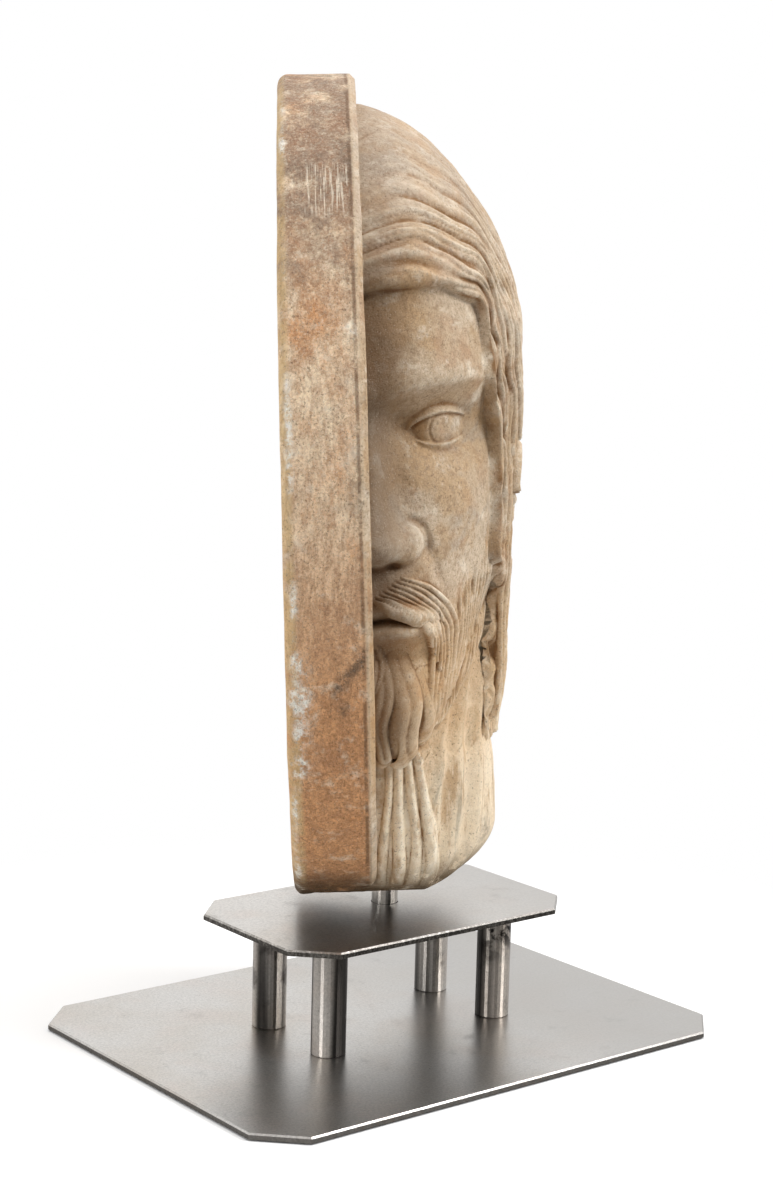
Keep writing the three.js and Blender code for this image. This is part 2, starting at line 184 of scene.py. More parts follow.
class Stroke:
    """A carved lock or cord: a smooth path over the surface with a width, a height and fine strands."""

    def __init__(self, path, width, height, strands, tip, root=0.25, growth=0.2):
        knots = np.array(path, float)
        share = np.linspace(0, 1, len(knots))
        slopes = np.gradient(knots, share, axis=0)
        t = np.linspace(0, 1, 24)
        i = np.clip(np.searchsorted(share, t) - 1, 0, len(knots) - 2)
        span = share[1]
        part = ((t - share[i]) / span)[:, None]
        self.line = curved(part, (knots[i], knots[i + 1]), (slopes[i], slopes[i + 1]), span)
        self.half = width * (1 - tip * t**3) * (1 - root * (1 - t) ** 3)
        self.height, self.strands, self.growth = height, strands, growth

    def over(self, u, v):
        """Height and groove share of the stroke at surface coordinates u and v."""
        low, high = self.line.min(0) - self.half.max(), self.line.max(0) + self.half.max()
        near = (u > low[0]) & (u < high[0]) & (v > low[1]) & (v < high[1])
        height, groove = np.zeros_like(u), np.zeros_like(u)
        if not near.any():
            return height, groove
        points = np.stack([u[near], v[near]], -1)
        count = len(points)
        closest, place, side = np.full(count, 1e9), np.zeros(count), np.zeros(count)
        for i, (start, stretch) in enumerate(zip(self.line[:-1], np.diff(self.line, axis=0))):
            offset = points - start
            share = np.clip(offset @ stretch / (stretch @ stretch), 0, 1)
            away = np.hypot(*(offset - share[:, None] * stretch).T)
            nearer = away < closest
            closest = np.where(nearer, away, closest)
            place = np.where(nearer, i + share, place)
            side = np.where(nearer, stretch[0] * offset[:, 1] - stretch[1] * offset[:, 0], side)
        along = place / (len(self.line) - 1)
        across = closest / np.interp(place, np.arange(len(self.half)), self.half)
        body = np.sqrt(np.maximum(1 - across**2, 0))
        fade = step(-0.1, self.growth, along)
        strand = ridge((np.sign(side) * across * 0.5 + 0.5) * self.strands)
        height[near] = self.height * fade * body * (0.7 + 0.3 * strand)
        groove[near] = (body > 0) * ((1 - strand) ** 2 * 0.7 + (1 - body) ** 2)
        return height, groove


def lay(strokes, u, v):
    """The highest of several strokes at each place."""
    height, groove = np.zeros_like(u), np.zeros_like(u)
    for stroke in strokes:
        one, dark = stroke.over(u, v)
        over = one > height
        height, groove = np.where(over, one, height), np.where(over, dark, groove)
    return height, groove


def between(start, end, share):
    return tuple(a + (b - a) * share for a, b in zip(start, end))


def swayed(start, end, sway, phase):
    """Five points from start to end that swing to each side in an S."""
    du, dv = end[0] - start[0], end[1] - start[1]
    length = math.hypot(du, dv)
    points = []
    for t in (0, 0.25, 0.5, 0.75, 1):
        swing = sway * math.sin(2 * math.pi * (t + phase)) * math.sin(math.pi * min(t + 0.1, 1))
        u, v = between(start, end, t)
        points.append((u - swing * dv / length, v + swing * du / length))
    return points


def jaw_strokes():
    """Fine strands of the beard by arc length and height, from the cheek down over the jaw, in two layers."""
    strokes = []
    layers = (
        ((124, -16), (50, -56), (104, -88), (32, -118), 17),
        ((118, -50), (46, -84), (96, -98), (26, -126), 16),
    )
    for layer, (high, low, far, near, count) in enumerate(layers):
        for i in range(count):
            share = i / (count - 1)
            jitter = 5 * math.sin(2.4 * i + layer)
            u, v = between(high, low, share)
            end = between(far, near, share)
            path = swayed((u, v + jitter), end, 2.6 + 0.6 * math.sin(1.7 * i), 0.09 * i + 0.4 * layer)
            strokes.append(Stroke(path, 2.7, 2.6 + layer, 1, tip=0.5, growth=0.3))
    return strokes


def chin_strokes():
    """Soft locks that hang from the chin, and the moustache round the mouth's corner, in front view."""
    chin_locks = (
        ([(2, -68), (5, -86), (2, -102), (4, -119)], 5.5, 4.0),
        ([(12, -72), (16, -92), (13, -112), (16, -135)], 8.0, 5.6),
        ([(24, -80), (28, -97), (26, -113), (22, -129)], 5.6, 4.8),
        ([(33, -86), (35, -100), (33, -113), (28, -122)], 4.0, 3.6),
    )
    strokes = [Stroke(path, width, height, 2, tip=0.4, growth=0.6) for path, width, height in chin_locks]
    strokes.append(Stroke([(0, -66), (1, -76), (0, -86)], 6, 3.0, 3, tip=0.6))
    for i in range(8):
        share = i / 7
        start, over = between((15, -32), (1, -42), share), between((29, -39), (9, -47), share)
        turn, down = between((39, -55), (19, -51), share), between((38, -72), (26, -58), share)
        end = between((34, -97), (27, -66), share)
        strokes.append(Stroke([start, over, turn, down, end], 2.2, 3.8 - 0.4 * (i % 2), 1, tip=0.7, root=0.5))
    return strokes


def hair_strokes():
    """Locks by arc length and height: at the temple, over the ear, and hanging behind it."""
    temple = (
        [(97, 104), (109, 84), (110, 64), (121, 48), (122, 26)],
        [(108, 104), (121, 82), (123, 64), (134, 52), (142, 42)],
    )
    strokes = [Stroke(path, 3.8, 3.0, 3, tip=0.8, growth=0.4) for path in temple]
    for i in range(7):
        share = i / 6
        start = between((136, 76), (200, 60), share)
        path = swayed(start, between((151, 24), (208, -34), share), 3.6, 0.2 + 0.13 * i)
        strokes.append(Stroke(path, 5.4, 3.0, 3, tip=0.8, growth=0.6))
    for i in range(24):
        start = (126 + 8 * i, -12 + 14 * (i * 2 % 3) + 22 * min(max(i - 4, 0) / 4, 1))
        end = (121 + 8.4 * i, -128 + 9 * (i * 2 % 3))
        path = swayed(start, end, 3.8, 0.3 + 0.13 * i)
        strokes.append(Stroke(path, 5.2 + 0.6 * (i * 3 % 4), 4.2, 3, tip=0.75, growth=0.55))
    return strokes


def ear_relief(arc, z):
    """The ear's shell: a rim round it, an inner fold, a bowl, a small flap in front and the lobe below."""
    across, up = (arc - EAR_ARC) / 15, (z - EAR_Z + 0.12 * (arc - EAR_ARC)) / 29
    squeeze = 1 + 0.34 * step(0.2, -1, up)
    radius = np.hypot(across * squeeze, up)
    angle = np.arctan2(up, across)
    shell = 3.5 * step(1.04, 0.94, radius)
    from_front = step(-2.6, -2.0, angle) * step(-0.35, 0.2, up) + (angle > -0.9) * (angle < 3.1)
    rim = 4.0 * bump(radius - 0.85, 0.12) * np.clip(from_front, 0, 1) * step(-0.75, -0.45, up)
    fold = 3.6 * bump(radius - 0.5, 0.12) * step(-0.2, 0.5, across + 0.3 * up) * step(-0.6, -0.3, up)
    fork = 2.2 * bump(across - 0.15 + 0.5 * (up - 0.5), 0.12) * bump(up - 0.5, 0.16)
    bowl = -8.5 * bump(np.hypot((across + 0.12) / 0.42, (up + 0.1) / 0.34), 1)
    gutter = -3.6 * bump(radius - 0.68, 0.08) * step(-0.5, 0.1, across) * step(-0.5, -0.2, up)
    flap = 3.6 * bump(np.hypot((across + 0.72) / 0.2, (up + 0.12) / 0.16), 1)
    lobe = 2.6 * bump(np.hypot((across + 0.15) / 0.5, (up + 0.82) / 0.22), 1)
    return shell + rim + fold + fork + bowl + gutter + flap + lobe, radius


def throat_edge(z):
    """Where the prop under the beard ends on the throat, by height."""
    return 23 + 12 * np.clip((-128 - z) / 67, 0, 1)


def throat_strokes():
    """The cords that the prop under the beard is cut into, fanning out to the foot."""
    cords = []
    sizes = ((7.5, 2, 2.2, 1.7), (12, 11.5, 2.7, 2.5), (16.5, 21, 2.3, 1.7), (20.5, 31, 2.6, 2.2))
    for i, (top, foot, width, height) in enumerate(sizes):
        path = swayed((top, -124), (foot, -207), 1.2 - 0.5 * (i % 2), 0.37 * i)
        cords.append(Stroke(path, width, height, 1, tip=-0.9, root=0, growth=0.0))
    return cords


def hair_distance(arc, z):
    """The distance up from the hair's edge, in which the strands run side by side."""
    behind_ear = 16 * step(0, -60, z) * step(290, 150, arc)
    swept = 0.3 * np.clip(HAIR_HEIGHT - z, 0, 80) + behind_ear
    arch = 7 * np.sin(math.pi * np.clip(arc / 75, 0, 1))
    over, up = arc - swept - HAIR_ARC, z - HAIR_HEIGHT - arch
    outside = np.hypot(np.maximum(over, 0), np.maximum(up, 0))
    return np.where(outside > 0, outside, np.maximum(over, up)) - HAIR_CORNER


def hair_strands(arc, z, distance):
    """Height of the strands, and how deep in a groove each place is."""
    along = arc - z
    flow = along * 0.22
    temple = step(100, 76, z) * step(150, 125, arc)
    wave = 3.0 * np.sin(along / 15 + distance / 24) + 0.9 * np.sin(along / 7 + distance / 15)
    wave = wave * step(-90, 0, along) + 1.5 * temple * np.sin(along / 5.5 + distance / 8)
    drift = 5 * flat_noise(distance * 0.5, flow, 30, 10)
    crown = step(172, 128, z)
    worn = 0.85 + 0.3 * flat_noise(arc, z, 26, 16)
    depth = (0.3 + 0.7 * crown) * worn
    place = distance + wave + drift
    broad = ridge(21 * np.log1p(np.maximum(place, 0) / 190))
    shift = 3.6 * flat_noise(distance * 0.7, flow, 13, 11) + 1.5 * flat_noise(distance, flow, 7, 13)
    middle = ridge((place + shift) / 4.3)
    fine = ridge((place + 0.7 * shift + 1.8 * flat_noise(distance, flow, 4.5, 12)) / 2.6)
    height = depth * (2.2 * (broad - 0.6) + 1.1 * (middle - 0.6) + 0.3 * (fine - 0.5))
    groove = ((1 - middle) ** 2 * 0.4 + (1 - broad) ** 2 * 0.6 + (1 - fine) ** 2 * 0.15) * depth
    return height, groove


def hair_tips(arc):
    """How far each hanging lock's end is from the lowest one."""
    return 7 * (1 - ridge(arc / 14 + 0.2)) + 4 * flat_noise(arc, np.zeros_like(arc), 20, 14)


def beard_cover(x, z):
    cheek = 2 - 56 * step(94, 42, x) + 18 * step(42, 12, x)
    return step(cheek - 2, cheek - 22, z)


def beard_tips(x):
    return 5 * (1 - ridge(x / 10 + 0.1)) - 1


def eye_relief(x, z):
    dx = x - EYE_X
    dz = z - EYE_Z - 0.05 * dx
    opening = np.maximum(1 - (dx / EYE_HALF) ** 2, 0)
    edge = np.where(dz > 0, EYE_UP * opening**0.7, EYE_DOWN * opening**0.85)
    outside = np.abs(dz) - edge
    lid = np.where(dz > 0, UPPER_LID, LOWER_LID) * step(-0.5, 0.5, outside)
    inside = (EYE_BALL + lid) ** 2 - dx * dx - 1.15 * dz * dz
    ball = np.where(inside > 0, np.sqrt(np.maximum(inside, 0)) - EYE_BALL - EYE_SUNK, -40)
    crease = -1.6 * bump(outside - 6.0, 1.3) * (dz > 0) * step(22, 14, np.abs(dx))
    seen = step(0.5, -0.5, outside)
    ring = -0.55 * bump(np.hypot(dx, dz - 0.8) - IRIS, 0.7) * seen
    pupil = -1.3 * bump(np.hypot(dx, dz - 1.8), 2.2) * seen
    return ball + crease + ring + pupil


def face_relief(x, z):
    """Brow, eye, nose, cheek and lips, towards the front, over a plain face."""
    above_brow = z - 55 - 7.5 * np.sin(math.pi * np.clip(x - 6, 0, 80) / 92)
    brow = 6.5 * np.where(above_brow > 0, bump(above_brow, 13), bump(above_brow, 5.5)) * step(90, 62, x)
    brow = brow * (0.55 + 0.45 * step(4, 20, x))
    socket = -15.5 * bump(x - 35, 24) * bump(z - 38, 13)
    inner_corner = -4 * bump(x - 17, 6) * bump(z - 40, 8)
    cheek = 5.5 * bump(x - 56, 19) * bump(z - 2, 20)
    temple = -4 * bump(x - 84, 16) * bump(z - 60, 24)
    forehead = 2 * bump(x - 30, 24) * bump(z - 84, 14)
    plain = brow + socket + inner_corner + cheek + temple + forehead
    eye = soft_max(plain, eye_relief(x, z), 1.2)
    bridge = nose_height(z) * np.exp(-((x / nose_width(z)) ** 2.3))
    wing_distance = np.hypot((x - NOSE_WING) / 8.0, (z + 16) / 9.0)
    wing = 9.5 * np.sqrt(np.maximum(1 - wing_distance**2, 0)) * step(NOSE_BASE - 2, NOSE_BASE + 4, z)
    wing_crease = -1.8 * bump(wing_distance - 1.25, 0.22) * step(14, 20, x) * step(-28, -20, z)
    nostril = -7 * bump(x - 11, 4) * bump(z + 25.5, 2.2)
    nose = soft_max(bridge, wing, 4) + wing_crease + nostril - 1
    fold_line = x - (27 - 0.42 * (z + 16))
    fold = -1.6 * bump(fold_line, 3.4) * step(-6, -18, z) * step(-60, -40, z)
    muzzle = 5 * bump(x, 34) * bump(z + 50, 24)
    taper = np.maximum(1 - (x / MOUTH_HALF) ** 2, 0)
    line = MOUTH - 1.2 * (x / MOUTH_HALF) ** 2 + 1.0 * bump(x - 9, 6)
    bow = 1.2 * bump(x - 6, 4)
    upper_lip = 5.0 * taper**0.5 * bump(z - line - 4.6 * taper**0.8 - bow, 3.4)
    lower_lip = 5.8 * taper**0.6 * bump(z - line + 5.4 * taper**0.8, 4.0)
    parting = -4.2 * bump(z - line, 1.5) * step(34, 27, x)
    corner = -2 * bump(x - 32, 3.5) * bump(z - line, 3.5)
    hollow = -4 * bump(z + 71, 5.5) * bump(x, 22)
    chin = 4 * bump(x, 22) * bump(z + 92, 14)
    mouth = muzzle + upper_lip + lower_lip + parting + corner + hollow + chin
    return eye + nose + fold + mouth


def neck_relief(arc, z):
    """Soft folds that run down the side of the neck."""
    below = step(-60, -100, z)
    line = arc - 128 - 0.3 * (z + 60)
    folds = ((0, 9, 2.2), (-15, 7, -1.2), (-30, 8, 1.8), (-43, 6, -1.4), (-54, 6, 1.2))
    return below * sum(height * bump(line - offset, reach) for offset, reach, height in folds)


def pits(arc, z, distance):
    """Deep drilled slots between the strands at the temple, and a furrow in front of the ear."""
    slots = ((6.5, 82, 1.5, 8), (5.8, 54, 1.2, 7), (11, 66, 1.2, 8), (10.5, 34, 1.5, 9), (6.4, 8, 1.2, 9))
    swing = 1.5 * np.sin((arc - z) / 5.5 + distance / 8)
    cuts = sum(bump(distance + swing - d, across) * bump(z - h, up) for d, h, across, up in slots)
    furrow = bump(arc - 133 - 0.14 * (40 - z), 4.5) * step(52, 30, z) * step(-40, -22, z)
    return np.maximum(cuts, furrow)


def smoothed(grid, passes):
    """The grid after a number of light blurs along both ways."""
    for _ in range(passes):
        for axis, length in enumerate(grid.shape):
            padded = np.pad(grid, [(1, 1) if a == axis else (0, 0) for a in (0, 1)], mode="edge")
            before = np.take(padded, range(length), axis)
            after = np.take(padded, range(2, length + 2), axis)
            grid = 0.5 * grid + 0.25 * (before + after)
    return grid


def outward_normals(place):
    normal = np.cross(np.gradient(place, axis=1), np.gradient(place, axis=0))
    return normal / np.maximum(np.linalg.norm(normal, axis=-1, keepdims=True), 1e-9)


def front_line(z, side):
    """The face's line, carried back to the head's middle as side goes from 0 to 1."""
    nearness = (1 - np.clip(side, 0, 1) ** FACE_SQUARENESS) ** (1 / FACE_SQUARENESS)
    return MIDDLE + (face_line(z) - MIDDLE) * nearness


def head_surface(turn, z):
    """Carved points of the head for arrays of turn and height, with their groove and wear shares."""
    cos_turn, sin_turn = np.cos(turn), np.sin(turn)
    arc = ARC_RADIUS * turn
    power = 2 / SIDE_SQUARENESS
    reach = outline(z)
    distance = hair_distance(arc, z)
    border = distance + 1.2 * np.sin((arc - z) / 7) + 1.5 * flat_noise(arc, z, 9, 15)
    hair = step(-1.2, 1.6, border)
    above_tips = z - hair_tips(arc)
    uncut = step(HAIR_END, HAIR_END + 4, above_tips)
    hanging = hair * uncut
    thick = hair * (0.3 * uncut + 0.7 * step(HAIR_END + 3, HAIR_END + 41, above_tips))
    x = reach * np.clip(sin_turn, 0, 1) ** power
    line = np.where(cos_turn > 0, throat_line(z), back_line(z))
    y = MIDDLE + np.abs(cos_turn) ** power * (line - MIDDLE)
    in_front = cos_turn > 0
    tipped = z - beard_tips(x) * step(-100, -118, z)
    face_reach = np.minimum(jaw_reach(tipped), reach)
    chin = step(BEARD_END, BEARD_END + 6, tipped)
    beside = y + (front_line(z, x / reach) - y) * step(-130, 10, z)
    before = -soft_max(-front_line(z, x / face_reach) * chin - y * (1 - chin), -y, 3)
    y = np.where(in_front, before + (beside - before) * step(-8, 8, distance), y)
    relief = face_relief(x, z) * step(0.12, 0.45, cos_turn) * (1 - hair) * step(-112, -96, z)
    relief = np.where(in_front, relief, 0)
    side_share = step(0.25, 0.8, sin_turn)
    swell = -HAIR_DEPTH * (1 - thick) * side_share
    x = x + swell * sin_turn
    y = y - swell * cos_turn - relief
    place = np.stack([x, y, z], -1)

    # Fine carving along the surface's own outward direction
    outward = outward_normals(place)
    on_face = step(1.06, 0.92, x / face_reach) * (1 - hair) * in_front
    beard = beard_cover(x, z) * step(BEARD_END, BEARD_END + 9, tipped) * on_face
    strands, strand_groove = hair_strands(arc, z, distance)
    locks, lock_groove = lay(hair_strokes(), arc, z)
    beard_locks, beard_groove = lay(chin_strokes(), x, z)
    jaw_locks, jaw_groove = lay(jaw_strokes(), arc, z)
    beard_groove = np.where(jaw_locks > beard_locks, jaw_groove, beard_groove)
    beard_locks = np.maximum(beard_locks, jaw_locks)
    ear, from_ear = ear_relief(arc, z)
    cords, cord_groove = lay(throat_strokes(), x, z)
    crown = step(195, 180, z)
    under_locks = 1 - 0.75 * step(0, 1.5, locks)
    loose = np.maximum(hanging, step(0.5, 1.6, locks) * step(-12, -9, distance) * uncut)
    carved = crown * (hanging * strands * under_locks + loose * locks + 1.4 * hanging * (1 - side_share))
    in_ear = step(1.2, 1.08, from_ear)
    carved = carved * (1 - in_ear) + in_ear * (ear - 4.0)
    beard_on = np.maximum(beard, step(0.2, 1.4, beard_locks) * step(16, -10, z))
    beard_on = beard_on * step(BEARD_END, BEARD_END + 7, tipped) * on_face
    carved += beard_on * (0.8 * beard + beard_locks)
    prop = in_front * step(-118, -130, z) * step(throat_edge(z) + 1.2, throat_edge(z) - 1.2, x)
    carved += prop * (2.2 + cords + 0.5 * flat_noise(2.5 * x, 0.5 * z, 9, 18))
    carved += 1.4 * step(-186, -206, z) * layered_noise(place, 12, 37)
    carved += neck_relief(arc, z) * (1 - hanging) * (1 - beard_on)
    hole = pits(arc, z, distance)
    carved -= 5.5 * hole * hair
    carved += 0.45 * layered_noise(place, 16, 31) * (1 - 0.5 * hanging)
    carved += 0.14 * layered_noise(place, 3.5, 35)
    total = carved + relief
    # The hollow share darkens hollows through the groove value as painted shade, and lightens ridges as wear.
    hollow = smoothed(total, 24) - total + 0.5 * (smoothed(total, 4) - total)
    groove = np.where(hanging * (locks <= 0.5) > 0.5, strand_groove, 0) + loose * (locks > 0.5) * lock_groove
    groove = 0.5 * groove * crown + 0.95 * beard_on * beard_groove
    groove += 0.5 * prop * cord_groove
    groove = np.clip(groove + 1.4 * hole * hair + 0.7 * np.maximum(hollow, 0), 0, 2)
    # The prop under the beard is lightened as well: painted light on its cords, which lie in shade under the
    # chin.
    worn = np.clip(-0.8 * hollow + 0.8 * prop * (1 - cord_groove), 0, 1)
    return place + outward * carved[..., None], groove, worn


def oval_limit(z):
    return OVAL_WIDTH / 2 * np.sqrt(np.clip(1 - (2 * z / OVAL_HEIGHT) ** 2, 0, 1))


# Meshes
def spaced(count, weight, low, high):
    """Places from low to high, closer together where the weight is larger."""
    samples = np.linspace(low, high, 2001)
    total = np.concatenate([[0], np.cumsum(weight(samples[1:]))])
    return np.interp(np.linspace(0, total[-1], count), total, samples)


def slab_to_world():
    stand = Matrix.Translation((ROD_X * MM, ROD_Y * MM, (MARBLE_FOOT + OVAL_HEIGHT / 2) * MM))
    turned = stand @ Matrix.Rotation(-SLAB_TURN, 4, "Z")
    return turned @ Matrix.Translation((-ROD_TO_FRONT * MM, 0, 0)) @ Matrix.Rotation(-SLAB_LEAN, 4, "Y")


def ring_faces(rows, columns):
    """Quads between closed rings of points, from one ring to the next."""
    here = np.arange(rows * columns).reshape(rows, columns)
    beside = np.roll(here, -1, axis=1)
    return np.stack([here[:-1], beside[:-1], beside[1:], here[1:]], -1).reshape(-1, 4).tolist()


def carved_mesh(name, rings, values, normals=None):
    """A closed piece from rings of slab-frame points, its ends capped, with values kept at its points."""
    rows, columns = rings.shape[:2]
    points = rings.reshape(-1, 3)
    faces = ring_faces(rows, columns)
    for end, row, way in ((0, 0, -1), (1, rows - 1, 1)):
        order = [row * columns + i for i in range(columns)][::way]
        faces += [(a, b, len(points) + end) for a, b in zip(order, order[1:] + order[:1])]
    local = np.vstack([points, rings[0].mean(0), rings[-1].mean(0)])
    matrix = np.array(slab_to_world())
    world = local * MM @ matrix[:3, :3].T + matrix[:3, 3]
    mesh = bpy.data.meshes.new(name)
    mesh.from_pydata(world.tolist(), [], faces)
    mesh.attributes.new("carved_at", "FLOAT_VECTOR", "POINT").data.foreach_set(
        "vector", (local * MM).astype(np.float32).ravel()
    )
    for key, value in values.items():
        flat = np.concatenate([value.ravel(), np.zeros(2)]).astype(np.float32)
        mesh.attributes.new(key, "FLOAT", "POINT").data.foreach_set("value", flat)
    mesh.polygons.foreach_set("use_smooth", [True] * len(mesh.polygons))
    if normals is not None:
        turned = np.vstack([normals.reshape(-1, 3), [(0, 0, -1), (0, 0, 1)]]) @ matrix[:3, :3].T
        mesh.normals_split_custom_set_from_vertices(turned.tolist())
    piece = bpy.data.objects.new(name, mesh)
    bpy.context.scene.collection.objects.link(piece)
    return piece


# The head is meshed as four parts that share their edges: face and back, below and above. Each part's
# cut is closed by a smaller ring inside the stone.
HEAD_ROWS, HEAD_COLUMNS = 501, 521
INNER_SHRINK, INNER_DEPTH = (0.6, 0.8, 1), 4.0


def head_stains(points):
    """Dark stains on the head: named spots by their place in the slab's frame."""
    spots = ((2, -66, 92, 4, 5), (3, -90, -28, 6, 12), (20, -60, -204, 9, 5), (60, -30, -178, 5, 9))
    x, y, z = np.moveaxis(points, -1, 0)
    return sum(bump(x - n, wide) * bump(y - s, 14) * bump(z - h, tall) for n, s, h, wide, tall in spots)


def make_head():
    low = -OVAL_HEIGHT / 2 + 2 * NECK_INSET
    heights = spaced(HEAD_ROWS, lambda z: 1 + 0.6 * bump(z + 5, 110), low, CARVED_TOP - 0.5)
    turns = spaced(HEAD_COLUMNS, lambda t: 1 + 1.0 * step(2.2, 0.9, t), 0, math.pi)
    turn, z = np.meshgrid(turns, heights)
    points, groove, worn = head_surface(turn, z)
    limit = oval_limit(points[..., 2]) - NECK_INSET
    rise = np.clip((points[..., 2] + OVAL_HEIGHT / 2) / NECK_CORNER, 0, 1)
    points[..., 0] = np.maximum(points[..., 0], 0) * np.sqrt(1 - (1 - rise) ** 2)
    points[..., 1] = np.clip(points[..., 1], -limit, limit)
    normals = outward_normals(points)
    values = {"groove": groove, "worn": worn, "rim": np.zeros_like(groove), "stain": head_stains(points)}
    row, column = HEAD_ROWS // 2, HEAD_COLUMNS // 2
    parts = []
    for level, rows in (("lower", slice(0, row + 1)), ("upper", slice(row, None))):
        for end, columns in (("face", slice(0, column + 1)), ("back", slice(column, None))):
            part = (rows, columns)
            skin = points[part]
            first, last = skin[:, :1].copy(), skin[:, -1:].copy()
            first[..., 0] = last[..., 0] = -HEAD_ROOT
            rings = np.concatenate([first, skin, last], 1)
            below = level == "lower"
            cut, ends = (-1, (0, 1)) if below else (0, (1, 0))
            inner = (rings[cut] * INNER_SHRINK + (0, 0, -INNER_DEPTH if below else INNER_DEPTH))[None]
            rings = np.concatenate([rings, inner] if below else [inner, rings])
            shading = np.pad(normals[part], (ends, (1, 1), (0, 0)), mode="edge")
            kept = {key: np.pad(value[part], (ends, (1, 1))) for key, value in values.items()}
            parts.append(carved_mesh(f"marble_head_{level}_{end}", rings, kept, shading))
    return parts


# Points in a ring of the slab, and how far the rings of its flat faces reach in before a cap closes them
SLAB_SEGMENTS, FLAT_REACH = 576, 0.98


def make_slab():
    """Rings from the back's middle over the corner, the edge and the chamfer to the front's middle."""
    angle = np.linspace(0, 2 * math.pi, SLAB_SEGMENTS, endpoint=False)
    endness = np.abs(np.sin(angle)) ** 3
    bevel = BACK_BEVEL + (BACK_BEVEL_AT_ENDS - BACK_BEVEL) * endness
    half_width, half_height = OVAL_WIDTH / 2, OVAL_HEIGHT / 2
    rows = []

    def ring(inset, out):
        z = (half_height - inset) * np.sin(angle)
        y = (half_width - inset) * np.cos(angle)
        share = (z + half_height) / OVAL_HEIGHT
        thickness = SLAB_BOTTOM_THICKNESS + (SLAB_TOP_THICKNESS - SLAB_BOTTOM_THICKNESS) * share
        return np.stack([np.broadcast_to(out(thickness), z.shape), y, z], -1)

    for share in np.linspace(0.02, 1, 26):
        rows.append(ring(half_width * (1 - share) * FLAT_REACH + bevel * share, lambda t: -t))
    for share in np.linspace(0, 1, 9)[1:]:
        bend = math.pi / 2 * share
        rows.append(ring(bevel * (1 - math.sin(bend)), lambda t, b=bend: bevel * (1 - math.cos(b)) - t))
    for share in np.linspace(0, 1, 22)[1:]:
        rows.append(ring(0, lambda t, s=share: (bevel - t) * (1 - s) - FRONT_CHAMFER * s))
    for share in np.linspace(0, 1, 5)[1:]:
        rows.append(ring(FRONT_CHAMFER * share, lambda t, s=share: -FRONT_CHAMFER * (1 - s)))
    for share in np.linspace(0, 1, 30)[1:]:
        rows.append(ring(FRONT_CHAMFER + (half_width - FRONT_CHAMFER) * share * FLAT_REACH, lambda t: 0))
    rings = np.stack(rows)
    wear = 0.5 * layered_noise(rings, 40, 41) + 0.4 * layered_noise(rings, 9, 42) - 0.3
    out = np.stack([np.zeros_like(wear), rings[..., 1] / half_width, rings[..., 2] / half_height], -1)
    chips = step(0.25, 0.7, layered_noise(rings, 13, 44)) * bump(rings[..., 0] + 1, 5)
    foot = step(-185, -206, rings[..., 2]) * layered_noise(rings, 14, 45)
    rings = rings + out * (wear - 1.6 * chips + 1.9 * foot)[..., None]
    rings[..., 0] += 0.35 * layered_noise(rings, 22, 43)
    n, side, z = np.moveaxis(rings, -1, 0)
    from_middle = np.hypot(side / half_width, z / half_height)
    rim = step(-1.5, -4, n) * step(0.93, 0.975, from_middle)
    worn, stain = rim * slab_wear(n, z), rim * slab_stains(n, side, z)
    values = {"groove": np.zeros_like(n), "rim": rim, "worn": worn, "stain": stain}
    return [carved_mesh("marble_slab", rings, values)]


def slab_wear(n, z):
    """Whitish wear: a broken streak beside the back corner, and a few worn places in front."""
    streak = bump(n + 35.5 + 3.4 * step(-105, -150, z), 1.9)
    broken = np.clip(bump(z - 178, 18) + bump(z - 120, 10) + bump(z - 40, 34) + step(-10, -40, z), 0, 1)
    patch = bump(n + 34, 6) * (bump(z + 78, 16) + bump(z + 112, 12))
    front = bump(n + 7, 4) * (bump(z - 36, 14) + 0.7 * bump(z - 84, 7) + 0.5 * bump(z + 196, 9))
    ragged = 0.35 + 0.65 * step(-0.4, 0.3, flat_noise(z, n, 9, 51))
    return np.clip((streak * broken + patch + front) * ragged, 0, 1)


def slab_stains(n, side, z):
    """Dark stains on the edge under the face, and a browner band along its front corner."""
    streak = bump((z + 68) - 1.15 * (n + 10), 4.6) * step(-22, -17, n) * step(1, -3, n)
    spot = bump(z + 87, 4.5) * bump(n + 14.5, 2.8)
    corner = bump(n + 5, 5) * (bump(z - 163, 18) + 0.8 * bump(z - 112, 9) + 0.7 * bump(z - 12, 16))
    return np.clip((streak + 0.9 * spot) * (side < 0) + 0.55 * corner, 0, 1)


